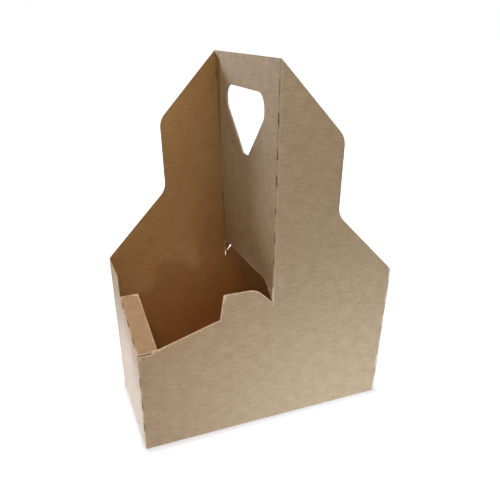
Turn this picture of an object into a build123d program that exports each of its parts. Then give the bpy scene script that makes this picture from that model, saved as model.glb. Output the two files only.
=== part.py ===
from build123d import *
import math
import os

# Takeaway carrier for two cups, folded from one die-cut sheet of brown kraft board.
# X runs along the carrier, Y through its depth with the front at minus Y, and Z is up.
# The origin is the middle of the footprint, on the surface that the carrier stands on.
# All sizes are in millimetres.
#
# Each wall of the long sides has a tall half and a low half. Above the low half the board
# is cut free and folded in at the middle, as one of the two flaps of the handle. Half a
# turn about Z brings the front wall, its flap and the left end onto the back wall, its
# flap and the right end, so each is drawn once and placed by a side: 1 is the front wall
# and the left end, and -1 is the back wall and the right end.

# Board and folds
board = 0.6              # thickness of the sheet
bend_inside = 0.4        # radius left on the inside of a fold
base_bend = 0.5          # outside radius of the folds round the base
layer_gap = 0.2          # between layers that lie loose on each other
cut_gap = 0.5            # width left by a knife cut

# Sleeve of four walls, outside sizes at its foot
base_length = 200.0
base_depth = 91.0
wall_lean = 4.0          # degrees that the front and back walls lean outwards
end_lean = 0.6           # degrees that the end walls lean outwards

# Tall half of a wall, heights measured up its slope
shoulder_height = 119.3
neck_foot = 171.7
neck_top = 228.2
neck_half_width = 49.5
peak_height = 280.3
neck_radius = 15.0

# Low half of a wall, with the tab that stays when the flap is folded in
corner_height = 85.0
notch_length = 9.0       # lowered edge beside the corner
notch_depth = 3.3
shelf_length = 6.0       # level edge between the notch and the rising edge
edge_rise = 14.5         # climb of the edge from there to the tab
tab_length = 38.0        # from the middle to the step at its end
tab_slant = 2.6          # how far the step leans out towards its foot
tab_height = 122.6
tab_run = 13.5           # from the middle to where the tab's top would meet its slanting side
tab_radius = 14.0
fold_foot = 109.8        # where the middle fold starts
foot_slit = 3.5          # knife cut that runs on below the foot of the fold

# Handle flap, heights above the ground
flap_kink_height = 184.0 # free edge runs straight up from here, as far from the fold
flap_rear_clear = 0.5    # between the free edge at the kink and the wall that it points at
flap_waist_drop = 24.0   # from the kink down to the waist
flap_waist_inset = 7.9   # free edge at the waist, in from the straight part
flap_foot_inset = 11.5   # free edge at its foot, in from the straight part
flap_edge_radius = 40.0
flap_corner_run = 12.0   # stretch of the lower edge that falls towards the free edge
flap_rear_drop = 3.0     # fall of the lower edge there
flap_ear_height = 6.3
flap_ear_tip = 0.8
flap_ear_clear = 0.5     # between the ear and the wall
flap_ear_radius = 2.5

# Grip hole through both flaps
grip_half_width = 38.0
grip_height = 48.4
grip_side_height = 16.0  # upright side below the top edge
grip_half_foot = 5.5
grip_cover = 23.3        # board left above the hole
grip_top_radius = 10.0
grip_side_radius = 8.0
grip_foot_radius = 3.0

# Ledge that folds in from the top of an end wall
ledge_width = 14.5
ledge_rear = 12.0        # how far past the middle of the depth it starts
ledge_drop = 16.1        # high end of its fold, below the level top of the end wall
ledge_low_rise = 0.8     # where the line of its fold passes over the low corner
ledge_clear = 0.3        # between its end and the low wall
end_step = 0.4           # level top of the end wall, below the shoulder of the tall wall
end_cut_radius = 2.0

# Cuts that perforate the folds
slit_length = 9.2
slit_width = 0.4
slit_pitch = 20.4
middle_slit_first = 30.0 # middle of the lowest one, from the foot of the fold
corner_slit_first = 22.0
ledge_slit_first = 10.0

# Base
panel_back_clear = 1.6   # base panel to the outside of the back wall
lip_depth = 24.0
lip_inset = 6.0
end_flap_length = 42.0
end_flap_inset = 4.5
end_flap_taper = 4.0
flap_spacing = 1.5       # between flaps that lie in one layer

# Glue lap of the sleeve, inside the low half of the back wall
lap_width = 18.0
lap_foot = 4.0
lap_top = 83.0
lap_taper = 6.0

# Sizes that follow from these
bend_outside = bend_inside + board
corner_depth = bend_outside + board / 10
cut_depth = corner_depth + board / 10
slit_depth = 1.5 * bend_outside
lean_run = math.tan(math.radians(wall_lean))
end_run = math.tan(math.radians(end_lean))
lean_cos = math.cos(math.radians(wall_lean))
end_cos = math.cos(math.radians(end_lean))
flap_outside = layer_gap / 2 + board
fold_edge = bend_outside - flap_outside
fold_length = peak_height - fold_foot - cut_gap
top_height = peak_height * lean_cos
end_height = shoulder_height * lean_cos - end_step
ledge_rear_height = end_height - ledge_drop
tube_height = peak_height + 2 * board
end_foot = board + layer_gap
fold_reach = base_length / 2 - bend_outside
fold_depth = base_depth / 2 - bend_outside


def wall_outer(height):
    """Half depth to the outside of the front and back walls, at a height above the ground."""
    return base_depth / 2 + height * lean_run


def wall_layer(height, depth):
    """Half depth to a layer of the front and back walls, a depth in from their outside."""
    return wall_outer(height) - depth / lean_cos


# Fall of a ledge's fold towards the low corner, and its length up to the low wall
low_corner_height = corner_height * lean_cos + ledge_low_rise
hinge_run = wall_outer(low_corner_height) + ledge_rear
hinge_fall = math.atan2(ledge_rear_height - low_corner_height, hinge_run)
hinge_cos = math.cos(hinge_fall)
hinge_sin = math.sin(hinge_fall)
ledge_reach = wall_layer(ledge_rear_height, board) - ledge_clear + ledge_rear
ledge_length = ledge_reach / (hinge_cos + hinge_sin * lean_run)


def wall_plane(side):
    """Outside of the front or back wall, with Y up its slope and X towards its tall half."""
    lean = math.radians(wall_lean)
    outward = (0, -side * math.cos(lean), -math.sin(lean))
    return Plane(origin=(0, -side * base_depth / 2, 0), x_dir=(side, 0, 0), z_dir=outward)


def end_plane(side):
    """Outside of the left or right end wall, with Y up its slope and X towards its low corner."""
    lean = math.radians(end_lean)
    outward = (-side * math.cos(lean), 0, -math.sin(lean))
    return Plane(origin=(-side * base_length / 2, 0, 0), x_dir=(0, -side, 0), z_dir=outward)


def flap_plane(side):
    """Inside of the handle flap of the front or back wall, with X running away from its fold."""
    return Plane(origin=(-side * layer_gap / 2, 0, 0), x_dir=(0, side, 0), z_dir=(side, 0, 0))


def fold_frame(plane, corner, away, along):
    """Plane across a fold in a wall: origin on its corner, X down the wall and Y inwards."""
    origin = plane.from_local_coords(Vector(*corner))
    x_dir = plane.from_local_coords(Vector(*corner) + Vector(*away)) - origin
    z_dir = plane.from_local_coords(Vector(*corner) + Vector(*along)) - origin
    return Plane(origin=origin, x_dir=x_dir, z_dir=z_dir)


def middle_fold(side):
    """Plane across the middle fold of a wall, at the foot of the fold."""
    return fold_frame(wall_plane(side), (-flap_outside, fold_foot + cut_gap), (1, 0), (0, 1))


def ledge_fold(side):
    """Plane across the fold of a ledge, at the high end of the fold."""
    corner = (-ledge_rear, ledge_rear_height)
    return fold_frame(end_plane(side), corner, (-hinge_sin, -hinge_cos), (hinge_cos, -hinge_sin))


def corner_fold(side, tall):
    """Plane across a corner fold of the sleeve, at the ground."""
    end_side = side if tall else -side
    origin = (end_side * base_length / 2, -side * base_depth / 2, 0)
    x_dir = (0, side, 0) if tall else (side, 0, 0)
    return Plane(origin=origin, x_dir=x_dir, z_dir=(end_side * end_run, -side * lean_run, 1))


def wall_cut():
    """Outline of what is cut away above a wall, and the radius of each of its corners."""
    notch_end = notch_length - base_length / 2
    shelf_height = corner_height + notch_depth
    shoulder_reach = base_length / 2 + shoulder_height * end_run
    shoulder_slope = (neck_foot - shoulder_height) / (shoulder_reach - neck_half_width)
    beyond = shoulder_reach + tube_height * end_run + board
    above = tube_height / lean_cos + board
    return [
        ((-beyond, corner_height), 0),
        ((notch_end, corner_height), 0),
        ((notch_end, shelf_height), 0),
        ((notch_end + shelf_length, shelf_height), 0),
        ((-tab_length - tab_slant, shelf_height + edge_rise), 0),
        ((-tab_length, tab_height), 0),
        ((-tab_run, tab_height), tab_radius),
        ((-flap_outside, fold_foot), 0),
        ((fold_edge - cut_gap, fold_foot), 0),
        ((fold_edge - cut_gap, fold_foot - foot_slit), 0),
        ((fold_edge, fold_foot - foot_slit), 0),
        ((fold_edge, peak_height), 0),
        ((neck_half_width, neck_top), neck_radius),
        ((neck_half_width, neck_foot), neck_radius),
        ((beyond, shoulder_height - (beyond - shoulder_reach) * shoulder_slope), 0),
        ((beyond, above), 0),
        ((-beyond, above), 0),
    ]


def end_cut():
    """Outline of what is cut away above an end wall, and the radius of each of its corners."""
    cut_line = -ledge_rear - hinge_sin * bend_outside - cut_gap
    cut_foot = ledge_rear_height - hinge_cos * bend_outside + cut_gap * hinge_sin / hinge_cos
    beyond = wall_outer(tube_height)
    return [
        ((cut_line, cut_foot), 0),
        ((cut_line, end_height), end_cut_radius),
        ((-wall_layer(end_height, corner_depth), end_height), 0),
        ((-wall_layer(tube_height + board, corner_depth), tube_height + board), 0),
        ((beyond, tube_height + board), 0),
        ((beyond, cut_foot - (beyond - cut_line) * hinge_sin / hinge_cos), 0),
    ]


def flap_outline():
    """Outline of a handle flap from its fold, and the radius of each of its corners."""
    foot = (fold_foot + cut_gap) * lean_cos + bend_outside * math.sin(math.radians(wall_lean))
    level = tab_height * lean_cos
    rear_foot = level - flap_rear_drop
    ear_foot = top_height - flap_ear_height
    ear_tip = top_height - flap_ear_tip
    fold_run = tab_run - flap_outside
    waist = flap_kink_height - flap_waist_drop
    width = wall_outer(flap_kink_height) + wall_layer(flap_kink_height, board) - flap_rear_clear
    rear_reach = width - flap_foot_inset - wall_outer(rear_foot)
    return [
        ((-wall_layer(foot, bend_outside), foot), 0),
        ((fold_run - wall_layer(foot, bend_outside), level), tab_radius),
        ((rear_reach - flap_corner_run, level), 0),
        ((rear_reach, rear_foot), 0),
        ((width - flap_waist_inset - wall_outer(waist), waist), flap_edge_radius),
        ((width - wall_outer(flap_kink_height), flap_kink_height), flap_edge_radius),
        ((width - wall_outer(ear_foot), ear_foot), flap_ear_radius),
        ((wall_layer(ear_tip, board) - flap_ear_clear, ear_tip), 0),
        ((wall_layer(top_height, board) - flap_ear_clear, top_height), 0),
        ((-wall_layer(top_height, bend_outside), top_height), 0),
    ]


def grip_outline():
    """Outline of the grip hole, drawn in to a narrow foot, and the radius of each corner."""
    top = top_height - grip_cover
    side = top - grip_side_height
    foot = top - grip_height
    return [
        ((-grip_half_width, top), grip_top_radius),
        ((grip_half_width, top), grip_top_radius),
        ((grip_half_width, side), grip_side_radius),
        ((grip_half_foot, foot), grip_foot_radius),
        ((-grip_half_foot, foot), grip_foot_radius),
        ((-grip_half_width, side), grip_side_radius),
    ]


def end_flap_outline(end_side):
    """Outline of a base flap of an end wall, cut on the slant beside the back wall's lip."""
    half = base_depth / 2 - end_flap_inset
    tip = base_length / 2 - end_flap_length
    slant = base_length / 2 - lip_inset - base_depth / 2 + flap_spacing * math.sqrt(2)
    root = base_length / 2 - board / 2
    outline = [(root, -half), (tip, end_flap_taper - half), (tip, tip - slant), (half + slant, half), (root, half)]
    return [(end_side * x, y) for x, y in outline]


def draw(outline):
    """Face with the given outline, in the sketch that is open."""
    spots = [spot for spot, _ in outline]
    radii = [radius for _, radius in outline]
    with BuildLine(mode=Mode.PRIVATE) as line:
        FilletPolyline(*spots, radius=radii, close=True)
    add(make_face(line.edges(), mode=Mode.PRIVATE))


def slit_planes(fold, first, length):
    """Planes of the perforating cuts that fit along a fold, each facing out of its bend."""
    count = int((length - first - slit_length) / slit_pitch) + 1
    spots = [fold.origin + fold.z_dir * (first + index * slit_pitch) for index in range(count)]
    return [Plane(origin=spot, x_dir=fold.z_dir, z_dir=-(fold.x_dir + fold.y_dir)) for spot in spots]


# Section of a fold, with its outer faces running from the origin along X and Y
with BuildSketch(Plane.XY) as bend_section:
    with BuildLine():
        CenterArc((bend_outside, bend_outside), bend_outside, 180, 90)
        CenterArc((bend_outside, bend_outside), bend_inside, 180, 90)
        Line((0, bend_outside), (board, bend_outside))
        Line((bend_outside, 0), (bend_outside, board))
    make_face()


with BuildPart() as cup_carrier:
    # Sleeve: a tube with bent corners, apart from the glued one at the back on the right
    with BuildSketch(Plane.XY):
        Rectangle(base_length, base_depth)
    with BuildSketch(Plane.XY.offset(tube_height)):
        Rectangle(base_length + 2 * tube_height * end_run, 2 * wall_outer(tube_height))
    loft(ruled=True)
    corners = cup_carrier.edges().filter_by(Plane.XY, reverse=True)
    fillet(corners.sort_by(Axis((0, 0, 0), (1, 1, 0)))[:-1], radius=bend_outside)
    with BuildSketch(Plane.XY):
        Rectangle(base_length - 2 * board / end_cos, 2 * wall_layer(0, board))
    with BuildSketch(Plane.XY.offset(tube_height)):
        Rectangle(
            base_length + 2 * tube_height * end_run - 2 * board / end_cos,
            2 * wall_layer(tube_height, board),
        )
    loft(ruled=True, mode=Mode.SUBTRACT)
    corners = cup_carrier.edges(Select.LAST).filter_by(Plane.XY, reverse=True)
    fillet(corners.sort_by(Axis((0, 0, 0), (1, 1, 0)))[:-1], radius=bend_inside)

    # Foot: the front wall and its corners reach the ground, the back wall and its corners
    # stand on the base panel, and each end wall stands on its own flap
    with BuildSketch(Plane.XY):
        with Locations((0, bend_outside + cut_gap)):
            Rectangle(base_length + board, base_depth)
    extrude(amount=board, mode=Mode.SUBTRACT)
    with BuildSketch(Plane.XY):
        with GridLocations(2 * (fold_reach + cut_depth), 0, 2, 1):
            Rectangle(2 * cut_depth, 2 * (fold_depth - cut_gap))
    extrude(amount=end_foot, mode=Mode.SUBTRACT)

    # Base panel, folded in from the front wall
    panel_depth = base_depth - board / 2 - panel_back_clear
    with BuildSketch(Plane.XY):
        with Locations((0, (board / 2 - panel_back_clear) / 2)):
            Rectangle(2 * (fold_reach - cut_gap), panel_depth)
    extrude(amount=board)

    # Lip folded in from the back wall and glued on the panel
    with BuildSketch(Plane.XY.offset(board)):
        with Locations((0, base_depth / 2 - (lip_depth + board / 2) / 2)):
            Trapezoid(base_length - 2 * lip_inset, lip_depth - board / 2, 45, rotation=180)
    extrude(amount=board)

    # Flaps folded in from the end walls, loose on the panel
    with BuildSketch(Plane.XY.offset(end_foot)):
        for end_side in (1, -1):
            with BuildLine():
                Polyline(*end_flap_outline(end_side), close=True)
            make_face()
    extrude(amount=board)

    # Bends of the folds round the base. The back wall's lip stays square at its fold.
    across = cup_carrier.edges().filter_by(Axis.X)
    front_foot = across.filter_by_position(Axis.Z, -board / 2, board / 2).sort_by(Axis.Y)[0]
    deep = cup_carrier.edges().filter_by(Axis.Y)
    end_feet = deep.filter_by_position(Axis.Z, board + layer_gap / 2, end_foot + board / 2).sort_by(Axis.X)
    fillet([front_foot, end_feet[0], end_feet[-1]], radius=base_bend)

    # Walls and ends cut to their outlines
    with BuildSketch(wall_plane(1), wall_plane(-1)):
        draw(wall_cut())
    extrude(amount=cut_depth, both=True, mode=Mode.SUBTRACT)
    with BuildSketch(end_plane(1), end_plane(-1)):
        draw(end_cut())
    extrude(amount=cut_depth, both=True, mode=Mode.SUBTRACT)

    # Handle flaps and the bends that carry them
    with BuildSketch(flap_plane(1), flap_plane(-1)):
        draw(flap_outline())
    extrude(amount=-board)
    with BuildSketch(middle_fold(1), middle_fold(-1)):
        add(bend_section.sketch)
    extrude(amount=fold_length)

    # Ledges and the bends that carry them
    with BuildSketch(ledge_fold(1), ledge_fold(-1)):
        add(bend_section.sketch)
    extrude(amount=ledge_length)
    for side in (1, -1):
        fold = ledge_fold(side)
        with BuildSketch(Plane(origin=fold.origin, x_dir=fold.z_dir, z_dir=-fold.x_dir)):
            with Locations((ledge_length / 2, (ledge_width + bend_outside) / 2)):
                Rectangle(ledge_length, ledge_width - bend_outside)
        extrude(amount=-board)

    # Grip hole through both flaps
    with BuildSketch(Plane.YZ):
        draw(grip_outline())
    extrude(amount=flap_outside + board, both=True, mode=Mode.SUBTRACT)

    # Glue lap: folded from the right end wall onto the inside of the back wall's low half
    lap_root = base_length / 2 - board / 2
    with BuildSketch(wall_plane(-1).offset(-board)):
        with BuildLine():
            Polyline(
                (-lap_root, lap_foot),
                (lap_width - lap_root, lap_foot + lap_taper),
                (lap_width - lap_root, lap_top - lap_taper),
                (-lap_root, lap_top),
                close=True,
            )
        make_face()
    extrude(amount=-board)

    # Groove where the right end wall bends in behind the raw edge of the back wall
    groove = wall_layer(0, board)
    rim = base_length / 2 + board
    with BuildSketch(Plane.XY):
        with BuildLine():
            CenterArc((fold_reach, groove - bend_outside), bend_outside, 0, 90)
            Polyline(
                (fold_reach, groove),
                (rim, groove),
                (rim, groove - bend_outside),
                (base_length / 2, groove - bend_outside),
            )
        make_face()
    extrude(amount=shoulder_height, dir=corner_fold(-1, False).z_dir, mode=Mode.SUBTRACT)

    # Top of the handle trimmed level
    with BuildSketch(Plane.XY.offset(top_height)):
        Rectangle(base_length, 2 * wall_outer(tube_height))
    extrude(amount=board, mode=Mode.SUBTRACT)

    # Perforating cuts along the folds
    slits = []
    for side in (1, -1):
        slits += slit_planes(middle_fold(side), middle_slit_first, fold_length)
        slits += slit_planes(ledge_fold(side), ledge_slit_first, ledge_length)
        slits += slit_planes(corner_fold(side, True), corner_slit_first, shoulder_height)
    slits += slit_planes(corner_fold(1, False), corner_slit_first, corner_height)
    with BuildSketch(*slits):
        Rectangle(slit_length, slit_width)
    extrude(amount=-slit_depth, mode=Mode.SUBTRACT)

os.makedirs("parts", exist_ok=True)
cup_carrier.part.label = "cup_carrier"
export_step(cup_carrier.part, "parts/cup_carrier.step")
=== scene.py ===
import math

import bpy
from mathutils import Matrix, Vector
from mathutils.kdtree import KDTree


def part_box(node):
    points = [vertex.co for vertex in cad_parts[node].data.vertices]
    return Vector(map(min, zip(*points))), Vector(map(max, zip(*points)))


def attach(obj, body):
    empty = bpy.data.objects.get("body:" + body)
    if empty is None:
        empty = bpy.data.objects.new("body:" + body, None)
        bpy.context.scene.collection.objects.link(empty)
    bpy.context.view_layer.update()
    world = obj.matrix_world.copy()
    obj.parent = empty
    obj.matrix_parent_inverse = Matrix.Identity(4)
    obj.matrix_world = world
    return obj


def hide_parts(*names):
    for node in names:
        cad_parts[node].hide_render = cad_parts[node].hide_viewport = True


bl_info = {
    "name": "Cardboard cup carrier",
    "version": (1, 0, 0),
    "blender": (4, 5, 0),
    "location": "View3D > Sidebar > Carrier",
    "description": "Dresses the folded carrier for two cups and sets its stage",
    "category": "Object",
}

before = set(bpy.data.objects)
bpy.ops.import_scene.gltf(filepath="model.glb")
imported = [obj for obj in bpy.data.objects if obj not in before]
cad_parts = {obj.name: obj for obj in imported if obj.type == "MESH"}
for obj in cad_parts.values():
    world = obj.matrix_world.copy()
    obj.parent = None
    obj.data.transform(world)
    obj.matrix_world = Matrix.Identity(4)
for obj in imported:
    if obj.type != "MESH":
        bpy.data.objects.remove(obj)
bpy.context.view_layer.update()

MM = 0.001
CARRIER = "cup_carrier"
FEWEST_FACES = 1000      # the sheet has many more, unless its cuts failed

# Sides of the board, in the order of the sheet's materials
OUTER, INNER, CUT_EDGE = range(3)

# Tones of the paper where it is scuffed along a fold, and where it is pale along a cut: partly
# frayed paper, partly a painted highlight
OUTER_FOLD = (0.66, 0.53, 0.36)
OUTER_FRAY_AND_HIGHLIGHT = (0.92, 0.76, 0.56)
INNER_FOLD = (0.52, 0.34, 0.17)
INNER_FRAY_AND_HIGHLIGHT = (0.66, 0.48, 0.28)


class CarrierSheetSettings(bpy.types.PropertyGroup):
    """Sizes and colours of the folded sheet."""

    foot_length: bpy.props.FloatProperty(
        name="Foot length", description="Outside of the sleeve at its foot, along X",
        default=200 * MM, unit="LENGTH")
    foot_depth: bpy.props.FloatProperty(
        name="Foot depth", description="Outside of the sleeve at its foot, along Y",
        default=91 * MM, unit="LENGTH")
    board: bpy.props.FloatProperty(
        name="Board", description="Thickness of the sheet", default=0.6 * MM, unit="LENGTH")
    wall_lean: bpy.props.FloatProperty(
        name="Wall lean", description="Outward lean of the front and back walls",
        default=math.radians(4), unit="ROTATION")
    end_lean: bpy.props.FloatProperty(
        name="End lean", description="Outward lean of the end walls",
        default=math.radians(0.6), unit="ROTATION")
    fold_foot: bpy.props.FloatProperty(
        name="Fold foot", description="Height where the middle folds start",
        default=110 * MM, unit="LENGTH")
    hinge_top: bpy.props.FloatProperty(
        name="Ledge fold", description="Height of the high end of a ledge's fold",
        default=102.5 * MM, unit="LENGTH")
    hinge_start: bpy.props.FloatProperty(
        name="Ledge start", description="How far past the middle of the depth a ledge starts",
        default=12 * MM, unit="LENGTH")
    hinge_fall: bpy.props.FloatProperty(
        name="Ledge fall", description="Fall of a ledge's fold towards the low corner",
        default=math.radians(14.5), unit="ROTATION")
    slit_length: bpy.props.FloatProperty(
        name="Slit length", description="Length of the slits that perforate the folds",
        default=9.2 * MM, unit="LENGTH")
    slit_closing: bpy.props.FloatProperty(
        name="Slit closing", description="How far each long wall of a slit is drawn to the other",
        default=0.14 * MM, unit="LENGTH")
    slit_lift: bpy.props.FloatProperty(
        name="Slit lift", description="How far one side of a slit stands out of a corner fold",
        default=0.4 * MM, unit="LENGTH")
    # Below this height the cut edges get a pale band, partly frayed paper and partly a painted
    # highlight; the upper edges, which lie in shade, get none
    fray_and_highlight_to: bpy.props.FloatProperty(
        name="Frayed to", description="Height up to which the cut edges are frayed and pale",
        default=126 * MM, unit="LENGTH")
    grid: bpy.props.FloatProperty(
        name="Grid", description="Spacing of the cuts that let the panels bow",
        default=6 * MM, unit="LENGTH")
    bow: bpy.props.FloatProperty(
        name="Bow", description="How far the middle of a free panel bows",
        default=0.9 * MM, unit="LENGTH")
    handle_bow: bpy.props.FloatProperty(
        name="Handle bow", description="How far the handle bows to the right beside its hole",
        default=1.3 * MM, unit="LENGTH")
    outside_light: bpy.props.FloatVectorProperty(
        name="Outside, light", description="Lighter tone of the outer paper", subtype="COLOR",
        default=(0.53, 0.395, 0.240))
    outside_dark: bpy.props.FloatVectorProperty(
        name="Outside, dark", description="Darker tone of the outer paper", subtype="COLOR",
        default=(0.36, 0.252, 0.142))
    inside_light: bpy.props.FloatVectorProperty(
        name="Inside, light", description="Lighter tone of the inner paper", subtype="COLOR",
        default=(0.43, 0.237, 0.085))
    inside_dark: bpy.props.FloatVectorProperty(
        name="Inside, dark", description="Darker tone of the inner paper", subtype="COLOR",
        default=(0.29, 0.152, 0.047))
    cut_light: bpy.props.FloatVectorProperty(
        name="Cut, light", description="Lighter tone of a cut edge", subtype="COLOR",
        default=(0.66, 0.50, 0.34))
    cut_dark: bpy.props.FloatVectorProperty(
        name="Cut, dark", description="Darker tone of a cut edge", subtype="COLOR",
        default=(0.42, 0.30, 0.18))
    # Painted shade round the slits of the folds, standing in for the shadow inside each slit
    slit_painted_shade: bpy.props.FloatVectorProperty(
        name="Slit", description="Tone of the crushed paper round the slits of the folds",
        subtype="COLOR", default=(0.17, 0.105, 0.05))


class CarrierStageSettings(bpy.types.PropertyGroup):
    """Camera, lamps and floor."""

    camera_place: bpy.props.FloatVectorProperty(
        name="Camera", description="Place of the camera", subtype="TRANSLATION",
        default=(-0.1497, -0.3953, 0.3000))
    camera_yaw: bpy.props.FloatProperty(
        name="Yaw", description="Turn of the camera from the depth axis towards the right",
        default=math.radians(21.19), unit="ROTATION")
    camera_pitch: bpy.props.FloatProperty(
        name="Pitch", description="How far the camera looks down",
        default=math.radians(21.83), unit="ROTATION")
    camera_roll: bpy.props.FloatProperty(
        name="Roll", description="Turn of the camera about its own line of sight",
        default=math.radians(0.50), unit="ROTATION")
    lens: bpy.props.FloatProperty(
        name="Lens", description="Focal length in millimetres on a 36 mm sensor", default=40.91)
    sky: bpy.props.FloatProperty(
        name="Sky", description="Strength of the warm light from all round", default=0.21)
    top_power: bpy.props.FloatProperty(
        name="Top lamp", description="Large lamp overhead", default=7.0, unit="POWER")
    front_power: bpy.props.FloatProperty(
        name="Front lamps", description="Each of the two lamps in front",
        default=2.2, unit="POWER")
    right_power: bpy.props.FloatProperty(
        name="Right lamp", description="Lamp at the front on the right",
        default=1.5, unit="POWER")
    back_power: bpy.props.FloatProperty(
        name="Back lamp", description="Lamp at the back on the left", default=9.2, unit="POWER")
    low_power: bpy.props.FloatProperty(
        name="Low spot", description="Soft spot on the foot of the front",
        default=72.0, unit="POWER")
    high_power: bpy.props.FloatProperty(
        name="High spot", description="Soft spot on the tall half of the back wall",
        default=23.0, unit="POWER")
    left_power: bpy.props.FloatProperty(
        name="Left spot", description="Soft spot on the left end wall",
        default=60.0, unit="POWER")
    tray_power: bpy.props.FloatProperty(
        name="Tray spot", description="Warm spot into the left cup space",
        default=6.0, unit="POWER")
    warm: bpy.props.FloatVectorProperty(
        name="Warm", description="Tint of the light from all round", subtype="COLOR",
        default=(1.0, 0.58, 0.27))
    cool: bpy.props.FloatVectorProperty(
        name="Cool", description="Tint of the large lamps", subtype="COLOR", max=2.0,
        default=(0.92, 1.0, 1.12))
    floor_colour: bpy.props.FloatVectorProperty(
        name="Floor", description="Colour of the floor", subtype="COLOR",
        default=(0.74, 0.80, 0.86))


def deselect_all():
    """Leaves nothing selected, the imported frame included."""
    if bpy.context.object and bpy.context.object.mode != "OBJECT":
        bpy.ops.object.mode_set(mode="OBJECT")
    bpy.ops.object.select_all(action="DESELECT")


def take(piece):
    """Selects one object alone and makes it the active one."""
    deselect_all()
    piece.select_set(True)
    bpy.context.view_layer.objects.active = piece


# Helpers for the node trees of the materials


def add_node(tree, kind, label="", **values):
    """Node of a kind, with the given sockets or settings."""
    node = tree.nodes.new("ShaderNode" + kind)
    node.label = label
    for name, value in values.items():
        if name in node.inputs:
            node.inputs[name].default_value = value
        else:
            setattr(node, name, value)
    return node


def calculate(tree, operation, first, second, clamp=False):
    """Math node on two sockets or numbers; gives its result."""
    node = add_node(tree, "Math", operation=operation, use_clamp=clamp)
    for socket, value in zip(node.inputs, (first, second)):
        if isinstance(value, (int, float)):
            socket.default_value = value
        else:
            tree.links.new(value, socket)
    return node.outputs[0]


def plus(tree, first, second, clamp=False):
    return calculate(tree, "ADD", first, second, clamp)


def minus(tree, first, second):
    return calculate(tree, "SUBTRACT", first, second)


def times(tree, first, second, clamp=False):
    return calculate(tree, "MULTIPLY", first, second, clamp)


def ramp(tree, value, low, high, to_low=0.0, to_high=1.0):
    """Map Range node that eases from low to high; gives its result."""
    node = add_node(tree, "MapRange", interpolation_type="SMOOTHSTEP")
    limits = {"From Min": low, "From Max": high, "To Min": to_low, "To Max": to_high}
    for name, number in limits.items():
        node.inputs[name].default_value = number
    tree.links.new(value, node.inputs["Value"])
    return node.outputs[0]


def blend(tree, factor, first, second, kind="MIX"):
    """Colour mix of two sockets or colours; gives its result."""
    node = add_node(tree, "Mix", data_type="RGBA", blend_type=kind)
    factor_socket, first_socket, second_socket = node.inputs[0], node.inputs[6], node.inputs[7]
    for socket, value in ((factor_socket, factor), (first_socket, first), (second_socket, second)):
        if isinstance(value, bpy.types.NodeSocket):
            tree.links.new(value, socket)
        elif isinstance(value, (int, float)):
            socket.default_value = value
        else:
            socket.default_value = (*value, 1.0)
    return node.outputs[2]


def new_group(name, inputs, outputs):
    """Empty node group with named sockets; gives the group, its input and its output node."""
    group = bpy.data.node_groups.new(name, "ShaderNodeTree")
    for socket, kind, value in inputs:
        made = group.interface.new_socket(
            name=socket, in_out="INPUT", socket_type="NodeSocket" + kind)
        if value is not None:
            made.default_value = value
    for socket, kind in outputs:
        group.interface.new_socket(name=socket, in_out="OUTPUT", socket_type="NodeSocket" + kind)
    return group, group.nodes.new("NodeGroupInput"), group.nodes.new("NodeGroupOutput")


def place_group(tree, group, label, **values):
    """A node group placed in a material, with its own values."""
    node = tree.nodes.new("ShaderNodeGroup")
    node.node_tree = group
    node.label = label
    for name, value in values.items():
        node.inputs[name.replace("_", " ")].default_value = value
    return node


# Finishes of the board, with patterns that lie on the flat sheet and are in millimetres


def stretched_noise(tree, place, turn, across, along, low, high):
    """Streaks of fibre: noise drawn out along one direction and cut to its peaks."""
    mapping = add_node(tree, "Mapping")
    mapping.inputs["Rotation"].default_value = (0, 0, math.radians(turn))
    mapping.inputs["Scale"].default_value = (across, along, 1)
    noise = add_node(tree, "TexNoise", Scale=1.0, Detail=2.0, Roughness=0.55)
    tree.links.new(place, mapping.inputs["Vector"])
    tree.links.new(mapping.outputs[0], noise.inputs["Vector"])
    return ramp(tree, noise.outputs[0], low, high)


def swing(tree, pattern, strength):
    """How far a pattern of 0 to 1 is from its middle, at a strength."""
    return times(tree, minus(tree, pattern, 0.5), strength)


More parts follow.
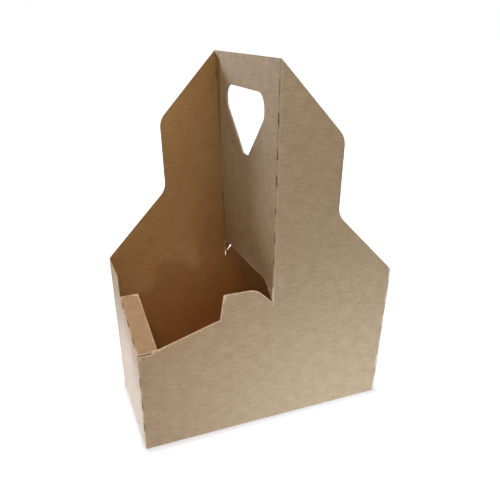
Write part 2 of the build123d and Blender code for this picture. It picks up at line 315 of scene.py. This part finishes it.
def kraft_group():
    """Brown paper: clouds of formation, grain, light and dark fibres and a few dark specks."""
    group, given, result = new_group(
        "Kraft paper",
        [
            ("Place", "Vector", None),
            ("Light", "Color", (0.5, 0.4, 0.3, 1)),
            ("Dark", "Color", (0.3, 0.2, 0.1, 1)),
            ("Clouds", "Float", 0.5),
            ("Grain", "Float", 0.5),
            ("Fibres", "Float", 0.5),
            ("Bands", "Float", 0.2),
            ("Specks", "Float", 0.5),
        ],
        [("Color", "Color"), ("Roughness", "Float"), ("Height", "Float")],
    )
    place = given.outputs["Place"]
    clouds = add_node(group, "TexNoise", "Formation", Scale=0.11, Detail=4.0, Roughness=0.6)
    grain = add_node(group, "TexNoise", "Grain", Scale=0.9, Detail=4.0, Roughness=0.7)
    cells = add_node(group, "TexVoronoi", "Specks", Scale=0.16, Randomness=1.0)
    for node in (clouds, grain, cells):
        group.links.new(place, node.inputs["Vector"])
    light_fibres = stretched_noise(
        group, place, turn=20, across=0.5, along=4.5, low=0.60, high=0.74)
    pale_fibres = stretched_noise(
        group, place, turn=-38, across=4.0, along=0.45, low=0.61, high=0.75)
    dark_fibres = stretched_noise(
        group, place, turn=78, across=0.4, along=3.6, low=0.62, high=0.76)
    bands = stretched_noise(
        group, place, turn=0, across=0.10, along=1.5, low=0.42, high=0.62)
    specks = ramp(group, cells.outputs["Distance"], low=0.035, high=0.075, to_low=1.0, to_high=0.0)

    cloudy = swing(group, clouds.outputs[0], given.outputs["Clouds"])
    grainy = swing(group, grain.outputs[0], given.outputs["Grain"])
    banded = swing(group, bands, given.outputs["Bands"])
    streaks = minus(group, plus(group, light_fibres, pale_fibres), dark_fibres)
    streaky = times(group, streaks, given.outputs["Fibres"])
    tone = plus(group, plus(group, cloudy, grainy), plus(group, streaky, banded))
    tone = plus(group, tone, 0.5, clamp=True)

    paper = blend(group, tone, given.outputs["Dark"], given.outputs["Light"])
    speck_mask = times(group, specks, given.outputs["Specks"])
    speck_tone = blend(group, 1.0, given.outputs["Dark"], (0.45, 0.38, 0.32), "MULTIPLY")
    colour = blend(group, speck_mask, paper, speck_tone)
    roughness = ramp(group, tone, low=0.0, high=1.0, to_low=0.74, to_high=0.62)
    height = plus(group, times(group, streaks, 0.35), grain.outputs[0])
    for socket, value in (("Color", colour), ("Roughness", roughness), ("Height", height)):
        group.links.new(value, result.inputs[socket])
    return group


def crease_group():
    """Masks of scuffed paper along folds, of pale paper along cuts, which is partly frayed paper
    and partly a painted highlight, and of painted shade round slits, which stands in for the shadow
    inside them.
    """
    group, given, result = new_group(
        "Creases",
        [
            ("Place", "Vector", None),
            ("Fold width", "Float", 2.0),
            ("Cut width", "Float", 0.8),
            ("Slit width", "Float", 0.8),
        ],
        [("Fold", "Float"), ("Cut", "Float"), ("Slit", "Float")],
    )
    noise = add_node(group, "TexNoise", "Unevenness", Scale=0.35, Detail=3.0, Roughness=0.6)
    group.links.new(given.outputs["Place"], noise.inputs["Vector"])
    patchy = ramp(group, noise.outputs[0], low=0.35, high=0.65, to_low=0.35, to_high=1.0)
    for name, socket in (("from_fold", "Fold"), ("from_cut", "Cut"), ("from_slit", "Slit")):
        reach = add_node(group, "Attribute", attribute_name=name, attribute_type="GEOMETRY")
        width = given.outputs[socket + " width"]
        share = calculate(group, "DIVIDE", reach.outputs["Fac"], width)
        near = ramp(group, share, low=0.0, high=1.0, to_low=1.0, to_high=0.0)
        group.links.new(times(group, near, patchy), result.inputs[socket])
    return group


def start_material(name):
    """Empty node material; gives it, its tree, its shader and the flat sheet's coordinates."""
    material = bpy.data.materials.new(name)
    material.use_nodes = True
    tree = material.node_tree
    shader = next(node for node in tree.nodes if node.type == "BSDF_PRINCIPLED")
    place = add_node(tree, "UVMap", uv_map="Blank")
    return material, tree, shader, place.outputs["UV"]


def add_bump(tree, shader, height, strength, depth):
    """Fine relief of the surface, of a depth in metres."""
    relief = add_node(tree, "Bump", Strength=strength, Distance=depth)
    tree.links.new(height, relief.inputs["Height"])
    tree.links.new(relief.outputs["Normal"], shader.inputs["Normal"])


def paper_material(name, groups, light, dark, fold_tone, cut_tone, slit_painted_shade):
    """One side of the board."""
    material, tree, shader, place = start_material(name)
    paper = place_group(
        tree, groups["kraft"], "Paper", Light=(*light, 1), Dark=(*dark, 1),
        Clouds=0.9, Grain=2.5, Fibres=0.38, Bands=0.27, Specks=0.6)
    creases = place_group(
        tree, groups["creases"], "Creases", Fold_width=2.4, Cut_width=1.0, Slit_width=1.0)
    for node in (paper, creases):
        tree.links.new(place, node.inputs["Place"])
    scuff = times(tree, creases.outputs["Fold"], 0.33)
    # Pale band along cut edges: partly frayed paper, partly a painted highlight
    fray_and_highlight = times(tree, creases.outputs["Cut"], 0.9)
    # Painted shade round each slit, as dark as the shadow inside it
    slit_shade = times(tree, creases.outputs["Slit"], 1.3, clamp=True)
    scuffed = blend(tree, scuff, paper.outputs["Color"], fold_tone)
    frayed_and_lit = blend(tree, fray_and_highlight, scuffed, cut_tone)
    shaded = blend(tree, slit_shade, frayed_and_lit, slit_painted_shade)
    tree.links.new(shaded, shader.inputs["Base Color"])
    tree.links.new(paper.outputs["Roughness"], shader.inputs["Roughness"])
    shader.inputs["Specular IOR Level"].default_value = 0.12
    add_bump(tree, shader, paper.outputs["Height"], strength=0.35, depth=0.12 * MM)
    return material


def cut_material(name, light, dark):
    """Cut edge of the board: pale torn fibres."""
    material, tree, shader, place = start_material(name)
    grain = add_node(tree, "TexNoise", "Torn grain", Scale=1.6, Detail=3.0, Roughness=0.6)
    tree.links.new(place, grain.inputs["Vector"])
    tone = ramp(tree, grain.outputs[0], low=0.3, high=0.7)
    tree.links.new(blend(tree, tone, dark, light), shader.inputs["Base Color"])
    shader.inputs["Roughness"].default_value = 0.95
    shader.inputs["Specular IOR Level"].default_value = 0.25
    add_bump(tree, shader, tone, strength=0.5, depth=0.1 * MM)
    return material


# The folded sheet


class SheetPlan:
    """Where the walls, folds and panels of the carrier are, in millimetres."""

    fold_room = 0.5          # a fold's bend reaches in by the board's thickness and this much
    base_layers = 2.6        # all of the base is lower than this many thicknesses of the board
    flap_margin = 5.0        # no spot of a flap is this far below the foot of a middle fold
    ledge_reach = 17.0       # no spot of a ledge is this far in from the outside of an end wall
    ledge_heights = (80.0, 106.0)    # the ledges are between these
    half_shift = 320.0       # to the second half of the flat sheet, more than a wall and an end

    def __init__(self, sizes):
        self.half_length = sizes.foot_length / MM / 2
        self.half_depth = sizes.foot_depth / MM / 2
        self.board = sizes.board / MM
        self.bend = self.board + self.fold_room
        self.base_top = self.base_layers * self.board
        self.wall_run = math.tan(sizes.wall_lean)
        self.end_run = math.tan(sizes.end_lean)
        self.fold_foot = sizes.fold_foot / MM
        self.hinge_top = sizes.hinge_top / MM
        self.hinge_start = sizes.hinge_start / MM
        self.hinge_fall = sizes.hinge_fall
        self.fray_and_highlight_to = sizes.fray_and_highlight_to / MM

    def wall(self, z):
        """Half depth to the outside of the front and back walls."""
        return self.half_depth + z * self.wall_run

    def end(self, z):
        """Half length to the outside of the end walls."""
        return self.half_length + z * self.end_run

    def panel(self, x, y, z):
        """Name of the panel that a spot of the sheet is on."""
        wall, end = self.wall(z), self.end(z)
        between_walls = abs(y) < wall - self.bend
        ledge_low, ledge_high = self.ledge_heights
        if abs(x) < self.bend and z > self.fold_foot - self.flap_margin and between_walls:
            return "flap"
        if z < self.base_top and abs(x) < end - self.bend and between_walls:
            return "base"
        if abs(x) > end - self.bend and abs(y) < wall - self.board:
            return "end"
        if abs(x) > end - self.ledge_reach and ledge_low < z < ledge_high and between_walls:
            return "ledge"
        return "wall"

    def on_blank(self, x, y, z):
        """Where a spot of the folded sheet lies on the flat one."""
        panel = self.panel(x, y, z)
        if panel == "base":
            return x, -y - self.half_depth
        turned = y > 0 if panel == "wall" else x > 0
        if turned:
            x, y = -x, -y
        shift = self.half_shift if turned else 0.0
        if panel == "flap":
            return shift - y - self.wall(z), z
        if panel == "wall":
            return shift + x, z
        around = shift - self.half_length - self.half_depth - y
        return around, z + (self.end(z) + x if panel == "ledge" else 0)

    def from_fold(self, x, y, z):
        """Distance to the nearest fold."""
        wall, end = abs(y) - self.wall(z), abs(x) - self.end(z)
        gaps = [math.hypot(wall, end), math.hypot(z, wall), math.hypot(z, end)]
        if z > self.fold_foot:
            gaps.append(math.hypot(x, wall))
        along = -y if x > 0 else y
        if along < self.hinge_start:
            hinge = self.hinge_top - (self.hinge_start - along) * math.tan(self.hinge_fall)
            gaps.append(math.hypot(end, (z - hinge) * math.cos(self.hinge_fall)))
        return min(gaps)


def copy_solid():
    """Copy of the carrier's solid, with its doubles merged and each flat face in one piece."""
    deselect_all()
    piece = bpy.data.objects.new("Folded_sheet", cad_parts[CARRIER].data.copy())
    bpy.context.scene.collection.objects.link(piece)
    take(piece)
    bpy.ops.mesh.customdata_custom_splitnormals_clear()
    while piece.data.uv_layers:
        piece.data.uv_layers.remove(piece.data.uv_layers[0])
    piece.data.materials.clear()
    bpy.ops.object.mode_set(mode="EDIT")
    bpy.ops.mesh.select_all(action="SELECT")
    bpy.ops.mesh.remove_doubles(threshold=0.01 * MM)
    bpy.ops.mesh.select_all(action="SELECT")
    bpy.ops.mesh.dissolve_limited(angle_limit=math.radians(0.4))
    bpy.ops.object.mode_set(mode="OBJECT")
    return piece


def close_slits(piece, sizes):
    """Draws the long walls of each slit together, with one side proud of the fold at a corner;
    gives spots along the slits."""
    slack = 0.1 * MM         # on the length of a slit
    widest_wall = 1.3 * MM   # a slit's long wall is narrower, through the board
    near_middle = 20 * MM    # a slit this near the middle isn't at a corner
    inside = Vector((0, 0, 100 * MM))
    steps = 16
    mesh = piece.data
    spots, moved = [], {}
    for face in mesh.polygons:
        corners = [mesh.vertices[index].co for index in face.vertices]
        edges = list(zip(corners, corners[1:] + corners[:1]))
        start, stop = max(edges, key=lambda pair: (pair[1] - pair[0]).length)
        other_length = abs((stop - start).length - sizes.slit_length) > slack
        if other_length or face.area > sizes.slit_length * widest_wall:
            continue
        spots += [start.lerp(stop, step / steps) for step in range(steps + 1)]
        out = (stop - start).cross(face.normal).normalized()
        out *= 1 if out.dot(face.center - inside) > 0 else -1
        at_corner = abs(face.center.x) > near_middle
        proud = sizes.slit_lift if face.normal.x > 0 and at_corner else 0.0
        shift = face.normal * sizes.slit_closing + out * proud
        moved.update({index: shift for index in face.vertices})
    if not spots:
        raise RuntimeError("no slit of that length was found in the folds")
    for index, shift in moved.items():
        mesh.vertices[index].co += shift
    return spots


def bisect(spot, normal):
    """Cuts the whole mesh in edit mode with a plane, and takes nothing away."""
    bpy.ops.mesh.select_all(action="SELECT")
    bpy.ops.mesh.bisect(plane_co=spot, plane_no=normal, threshold=1e-6)


def grid_steps(low, high, step):
    """Even places between two others, half a step in from both."""
    count = int((high - low) / step)
    return [low + (high - low) * (index + 0.5) / (count + 1) for index in range(count + 1)]


def cut_grid(sizes, low, high):
    """Even cuts in all three directions, one just inside each wall and one near the top."""
    from_end = 5 * MM
    above_base = 4.2 * MM
    below_top = 1.5 * MM
    inside = 2.5 * MM
    half_length, half_depth = sizes.foot_length / 2, sizes.foot_depth / 2
    bpy.ops.object.mode_set(mode="EDIT")
    for x in grid_steps(from_end - half_length, half_length - from_end, sizes.grid):
        bisect((x, 0, 0), (1, 0, 0))
    for y in grid_steps(low.y, high.y, sizes.grid):
        bisect((0, y, 0), (0, 1, 0))
    for z in grid_steps(above_base, high.z, sizes.grid):
        bisect((0, 0, z), (0, 0, 1))
    bisect((0, 0, high.z - below_top), (0, 0, 1))
    for side in (1, -1):
        bisect((side * (half_length - inside), 0, 0),
               (side * math.cos(sizes.end_lean), 0, -math.sin(sizes.end_lean)))
        bisect((0, side * (half_depth - inside), 0),
               (0, side * math.cos(sizes.wall_lean), -math.sin(sizes.wall_lean)))
    bpy.ops.object.mode_set(mode="OBJECT")


def largest_triangles(mesh):
    """Largest triangle of each face."""
    mesh.calc_loop_triangles()
    largest = {}
    for triangle in mesh.loop_triangles:
        known = largest.get(triangle.polygon_index)
        if known is None or triangle.area > known.area:
            largest[triangle.polygon_index] = triangle
    return largest


def sort_faces(piece, plan):
    """Gives each face its side of the board; gives the sides back."""
    under_skin = 0.02 * MM
    across_board = 2.2 * plan.board * MM     # the board's other side is nearer than this
    level, ledge_tilt, square_on = 0.5, 0.6, 0.9     # parts of a normal of length 1
    end_skin = 0.2           # in from the outside of an end wall, in millimetres
    mesh = piece.data
    largest = largest_triangles(mesh)
    sides = []
    for face in mesh.polygons:
        spot, normal = Vector(largest[face.index].center), face.normal
        x, y, z = spot / MM
        hit, place, _, _ = piece.ray_cast(spot - normal * under_skin, -normal)
        has_other_side = hit and (place - spot).length < across_board
        on_rim = abs(x) > plan.end(z) - plan.bend or abs(y) > plan.wall(z) - plan.bend
        if z < plan.base_top and (on_rim or normal.z < -level):
            side = OUTER
        elif z < plan.base_top:
            side = INNER if normal.z > level else CUT_EDGE
        elif not has_other_side:
            side = CUT_EDGE
        elif plan.panel(x, y, z) == "flap":
            side = OUTER if abs(x) > plan.board / 2 and normal.x * x > 0 else INNER
        elif abs(x) < plan.bend and z > plan.fold_foot and abs(normal.y) < square_on:
            side = OUTER if normal.x * y > 0 else INNER
        elif abs(normal.z) > ledge_tilt and abs(x) < plan.end(z) - end_skin:
            side = OUTER if normal.z > 0 else INNER
        else:
            side = OUTER if normal.x * x + normal.y * y > 0 else INNER
        sides.append(side)
    mesh.polygons.foreach_set("material_index", sides)
    return sides


def lay_flat(piece, plan):
    """Coordinates of the flat sheet, in millimetres, as the piece's own UV map."""
    inwards = 0.02           # share of the way to the middle of its face that a corner is read at
    mesh = piece.data
    sheet = mesh.uv_layers.new(name="Blank")
    mesh.uv_layers.active = sheet
    for face in mesh.polygons:
        for loop, vertex in zip(face.loop_indices, face.vertices):
            spot = mesh.vertices[vertex].co / MM
            nudged = spot * (1 - inwards) + (face.center / MM) * inwards
            sheet.data[loop].uv = plan.on_blank(*nudged)


def spot_tree(spots):
    """Tree that finds the nearest of many spots."""
    tree = KDTree(len(spots))
    for index, spot in enumerate(spots):
        tree.insert(spot, index)
    tree.balance()
    return tree


def keep_distances(piece, name, distances):
    """Attribute of the mesh that a finish reads, in millimetres."""
    attribute = piece.data.attributes.new(name, "FLOAT", "POINT")
    attribute.data.foreach_set("value", distances)


def mark_sheet(piece, plan, sides, slit_spots):
    """Keeps how far each corner of the mesh is from a cut edge, a slit and a fold."""
    far = 8.0                # from a cut or slit, in millimetres
    far_from_fold = 12.0
    corners = piece.data.vertices
    touching = [set() for _ in corners]
    for face, side in zip(piece.data.polygons, sides):
        for vertex in face.vertices:
            touching[vertex].add(side)
    edge_spots = [
        corner.co for corner, near in zip(corners, touching) if CUT_EDGE in near and len(near) > 1]
    cuts, slits = spot_tree(edge_spots), spot_tree(slit_spots)
    fray_and_highlight_to = plan.fray_and_highlight_to * MM
    # Only the lower cut edges get the pale band of frayed paper and painted highlight
    keep_distances(piece, "from_cut", [
        min(cuts.find(corner.co)[2] / MM, far) if corner.co.z < fray_and_highlight_to else far
        for corner in corners])
    keep_distances(piece, "from_slit", [
        min(slits.find(corner.co)[2] / MM, far) for corner in corners])
    keep_distances(piece, "from_fold", [
        min(plan.from_fold(*(corner.co / MM)), far_from_fold) for corner in corners])


def hump(height, centre, width):
    """1 at a height that is a share of the whole, easing away on both sides."""
    return math.exp(-((height - centre) / width) ** 2)


def panel_push(u, v, w):
    """Push of the panels along X and Y at a place in the cage, in shares of their bow: outwards
    in the middle of a wall, with slow waves, and none at the foot."""
    height = w + 0.5
    ease = min(1.0, height * 3)
    outwards = 1 if v > 0 else -1 if v < 0 else 0
    out_of_wall = math.cos(math.pi * u) * math.sin(math.pi * min(1.0, height * 1.25)) * 0.8
    ripple = math.sin(7.0 * u + 5.0 * w + 1.3) * 0.25 + math.sin(11.0 * w - 4.0 * u) * 0.2
    sideways = math.sin(2 * math.pi * v + 6.0 * w) * 0.3 * math.cos(math.pi * u)
    return sideways * ease, (out_of_wall * outwards + ripple) * ease


def handle_push(u, v, w):
    """Push of the handle to the right at a place in the cage, in shares of its bow: its middle at
    the height of the hole, and its folds lower down, with a little the other way at their top."""
    height = w + 0.5
    near_handle = max(0.0, 1 - abs(u) * 3)
    at_hole = hump(height, centre=0.82, width=0.2)
    at_fold = (
        hump(height, centre=0.52, width=0.2) * 0.8 - hump(height, centre=1.0, width=0.12) * 0.3)
    return near_handle * (
        at_fold * abs(math.sin(math.pi * v)) + at_hole * math.cos(math.pi * v))


def bow_sheet(piece, sizes, low, high):
    """Bows the panels and the handle with a cage, the foot held flat."""
    deselect_all()
    bpy.ops.object.add(type="LATTICE", location=(low + high) / 2)
    cage = bpy.context.object
    cage.name = "Bow_cage"
    cage.scale = (high - low) * 1.001    # a little larger than the sheet
    cage.data.points_u, cage.data.points_v, cage.data.points_w = 7, 5, 9
    for point in cage.data.points:
        place = point.co     # from -0.5 to 0.5 on each axis
        push_x, push_y = (push * sizes.bow for push in panel_push(*place))
        push_x += handle_push(*place) * sizes.handle_bow
        point.co_deform = place + Vector((push_x / cage.scale.x, push_y / cage.scale.y, 0))
    take(piece)
    modifier = piece.modifiers.new("Bow", "LATTICE")
    modifier.object = cage
    bpy.ops.object.modifier_apply(modifier=modifier.name)
    bpy.data.objects.remove(cage)


def smooth_sheet(piece):
    """Smooth bends between flat panels."""
    take(piece)
    bpy.ops.object.shade_smooth_by_angle(angle=math.radians(40))
    modifier = piece.modifiers.new("Flat panels", "WEIGHTED_NORMAL")
    modifier.keep_sharp = True
    bpy.ops.object.modifier_apply(modifier=modifier.name)


class CARRIER_OT_sheet(bpy.types.Operator):
    """Makes the folded sheet from the carrier's solid, with bowed panels and kraft paper"""

    bl_idname = "carrier.sheet"
    bl_label = "Folded sheet"

    def execute(self, context):
        sizes = context.scene.carrier_sheet
        plan = SheetPlan(sizes)
        low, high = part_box(CARRIER)
        piece = copy_solid()
        slit_spots = close_slits(piece, sizes)
        cut_grid(sizes, low, high)
        if len(piece.data.polygons) < FEWEST_FACES:
            raise RuntimeError("the folded sheet has too few faces to bow")

        groups = {"kraft": kraft_group(), "creases": crease_group()}
        for material in (
            paper_material("Kraft_outside", groups, sizes.outside_light, sizes.outside_dark,
                           OUTER_FOLD, OUTER_FRAY_AND_HIGHLIGHT, sizes.slit_painted_shade),
            paper_material("Kraft_inside", groups, sizes.inside_light, sizes.inside_dark,
                           INNER_FOLD, INNER_FRAY_AND_HIGHLIGHT, sizes.slit_painted_shade),
            cut_material("Kraft_cut", sizes.cut_light, sizes.cut_dark),
        ):
            piece.data.materials.append(material)
        sides = sort_faces(piece, plan)
        lay_flat(piece, plan)
        mark_sheet(piece, plan, sides, slit_spots)
        bow_sheet(piece, sizes, low, high)
        smooth_sheet(piece)
        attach(piece, "root")
        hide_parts(CARRIER)
        return {"FINISHED"}


# The stage


def seen_directly(tree):
    """1 for rays from the camera and for those that mirror or pass on what it sees."""
    path = add_node(tree, "LightPath")
    seen = calculate(tree, "MAXIMUM", path.outputs["Is Camera Ray"], path.outputs["Is Glossy Ray"])
    return calculate(tree, "MAXIMUM", seen, path.outputs["Is Transmission Ray"])


def light_world(scene, strength, tint):
    """White behind the object, and even light from all round."""
    world = bpy.data.worlds.new("Studio")
    world.use_nodes = True
    tree = world.node_tree
    tree.nodes.clear()
    around = add_node(tree, "Background", "Light", Color=(*tint, 1), Strength=strength)
    behind = add_node(tree, "Background", "Backdrop", Color=(1, 1, 1, 1), Strength=1.0)
    choose = add_node(tree, "MixShader")
    output = add_node(tree, "OutputWorld")
    tree.links.new(seen_directly(tree), choose.inputs[0])
    tree.links.new(around.outputs[0], choose.inputs[1])
    tree.links.new(behind.outputs[0], choose.inputs[2])
    tree.links.new(choose.outputs[0], output.inputs["Surface"])
    scene.world = world


def distance_outside(tree, foot):
    """Distance of a spot of the floor from the rectangle of the object's foot."""
    spot = add_node(tree, "TexCoord").outputs["Object"]
    steps = (
        ("ABSOLUTE", None),
        ("SUBTRACT", (*foot, 0)),
        ("MAXIMUM", (0, 0, 0)),
        ("LENGTH", None),
    )
    for operation, value in steps:
        node = add_node(tree, "VectorMath", operation=operation)
        tree.links.new(spot, node.inputs[0])
        if value:
            node.inputs[1].default_value = value
        spot = node.outputs["Value" if operation == "LENGTH" else "Vector"]
    return spot


def floor_material(colour, foot):
    """Pale floor with a painted contact shadow: its glow for camera rays is weakest right beside
    the object's foot, so it is darkest there, and it is plain white away from it.
    """
    painted_shadow_width = 7 * MM
    away = 400 * MM
    material = bpy.data.materials.new("Pale_floor")
    material.use_nodes = True
    tree = material.node_tree
    shader = next(node for node in tree.nodes if node.type == "BSDF_PRINCIPLED")
    shader.inputs["Base Color"].default_value = (*colour, 1)
    shader.inputs["Roughness"].default_value = 0.9
    shader.inputs["Specular IOR Level"].default_value = 0.1
    distance = distance_outside(tree, foot)
    # Painted contact shadow: the glow that the camera sees is lowest right beside the foot
    glow_with_painted_shadow = ramp(tree, distance, 0.0, painted_shadow_width, to_low=0.30, to_high=0.55)
    far_glow = ramp(tree, distance, painted_shadow_width, away, to_low=0.0, to_high=0.45)
    glow = times(tree, plus(tree, glow_with_painted_shadow, far_glow), seen_directly(tree))
    tree.links.new(glow, shader.inputs["Emission Strength"])
    shader.inputs["Emission Color"].default_value = (1, 1, 1, 1)
    return material


def place_lamp(data, power, tint, place, target):
    """Puts a lamp in the scene, facing a point."""
    data.energy = power
    data.color = tint
    lamp = bpy.data.objects.new(data.name, data)
    bpy.context.scene.collection.objects.link(lamp)
    lamp.location = place
    lamp.rotation_euler = (Vector(target) - Vector(place)).to_track_quat("-Z", "Y").to_euler()
    lamp.visible_camera = False


def add_disc(name, power, tint, place, target, size):
    """Large soft lamp."""
    data = bpy.data.lights.new(name, "AREA")
    data.shape = "DISK"
    data.size = size
    place_lamp(data, power, tint, place, target)


def add_spot(name, power, tint, place, target, size, cone, soft=1.0):
    """Spot with a cone of so many degrees, of which a share is soft."""
    data = bpy.data.lights.new(name, "SPOT")
    data.shadow_soft_size = size
    data.spot_size = math.radians(cone)
    data.spot_blend = soft
    place_lamp(data, power, tint, place, target)


def light_stage(stage):
    """Large cool lamps round the object, and soft tinted spots on single panels."""
    middle = (0, 0, 0.12)
    discs = (
        ("Top", stage.top_power, (0, 0, 1.5), 1.0),
        ("Front_high", stage.front_power, (0, -1.0, 1.0), 0.9),
        ("Front_middle", stage.front_power, (-0.1, -1.3, 0.5), 0.8),
        ("Right", stage.right_power, (0.9, -0.9, 0.4), 0.6),
        ("Back", stage.back_power, (-0.6, 1.1, 0.35), 0.4),
    )
    for name, power, place, size in discs:
        add_disc(name, power, stage.cool, place, middle, size)
    add_spot(
        "Low_spot", stage.low_power, tint=(0.80, 1.0, 1.3),
        place=(0.35, -1.45, 0.25), target=(0.07, -0.05, -0.05), size=0.1, cone=16)
    add_spot(
        "High_spot", stage.high_power, tint=(0.85, 1.0, 1.2),
        place=(-0.35, -1.3, 0.55), target=(-0.075, 0.05, 0.26), size=0.1, cone=8)
    add_spot(
        "Left_spot", stage.left_power, tint=(0.75, 1.0, 1.7),
        place=(-1.2, 0.1, 0.03), target=(-0.1, 0.0, 0.02), size=0.04, cone=8.2, soft=0.4)
    add_spot(
        "Tray_spot", stage.tray_power, tint=(1.4, 0.54, 0.06),
        place=(-0.30, -0.50, 0.80), target=(-0.06, 0.02, 0.06), size=0.06, cone=12)


def add_floor(stage, sheet):
    """Round floor, left out of the part."""
    deselect_all()
    bpy.ops.mesh.primitive_circle_add(
        vertices=96, radius=12, fill_type="NGON", location=(0, 0, 0))
    floor = bpy.context.object
    floor.name = "Floor"
    foot = (sheet.foot_length / 2, sheet.foot_depth / 2)
    floor.data.materials.append(floor_material(stage.floor_colour, foot))


def set_camera(scene, stage):
    """Camera at the angle of the photograph."""
    yaw, pitch, roll = stage.camera_yaw, stage.camera_pitch, stage.camera_roll
    forward = Vector((
        math.sin(yaw) * math.cos(pitch), math.cos(yaw) * math.cos(pitch), -math.sin(pitch)))
    right = Vector((math.cos(yaw), -math.sin(yaw), 0))
    down = forward.cross(right)
    turned_right = right * math.cos(roll) + down * math.sin(roll)
    turned_up = right * math.sin(roll) - down * math.cos(roll)
    data = bpy.data.cameras.new("Camera")
    data.lens = stage.lens
    data.sensor_width = 36
    data.clip_start = 0.01
    data.clip_end = 50
    camera = bpy.data.objects.new("Camera", data)
    scene.collection.objects.link(camera)
    axes = Matrix((turned_right, turned_up, -forward)).transposed().to_4x4()
    camera.matrix_world = Matrix.Translation(stage.camera_place) @ axes
    scene.camera = camera


class CARRIER_OT_stage(bpy.types.Operator):
    """Sets the floor, the lamps, the backdrop and the camera"""

    bl_idname = "carrier.stage"
    bl_label = "Stage"

    def execute(self, context):
        scene = context.scene
        stage = scene.carrier_stage
        add_floor(stage, scene.carrier_sheet)
        light_stage(stage)
        light_world(scene, stage.sky, stage.warm)
        scene.view_settings.view_transform = "Standard"
        set_camera(scene, stage)
        return {"FINISHED"}


class VIEW3D_PT_carrier(bpy.types.Panel):
    """Lists the pieces of the carrier and their settings"""

    bl_idname = "VIEW3D_PT_carrier"
    bl_label = "Cup carrier"
    bl_space_type = "VIEW_3D"
    bl_region_type = "UI"
    bl_category = "Carrier"

    def draw(self, context):
        for operator, settings in (
            (CARRIER_OT_sheet, context.scene.carrier_sheet),
            (CARRIER_OT_stage, context.scene.carrier_stage),
        ):
            box = self.layout.box()
            box.operator(operator.bl_idname)
            for name in settings.__annotations__:
                box.prop(settings, name)


CLASSES = (
    CarrierSheetSettings,
    CarrierStageSettings,
    CARRIER_OT_sheet,
    CARRIER_OT_stage,
    VIEW3D_PT_carrier,
)


def register():
    for item in CLASSES:
        bpy.utils.register_class(item)
    bpy.types.Scene.carrier_sheet = bpy.props.PointerProperty(type=CarrierSheetSettings)
    bpy.types.Scene.carrier_stage = bpy.props.PointerProperty(type=CarrierStageSettings)


def unregister():
    del bpy.types.Scene.carrier_stage
    del bpy.types.Scene.carrier_sheet
    for item in reversed(CLASSES):
        bpy.utils.unregister_class(item)


def main():
    register()
    bpy.ops.carrier.sheet()
    bpy.ops.carrier.stage()


if __name__ == "__main__":
    main()
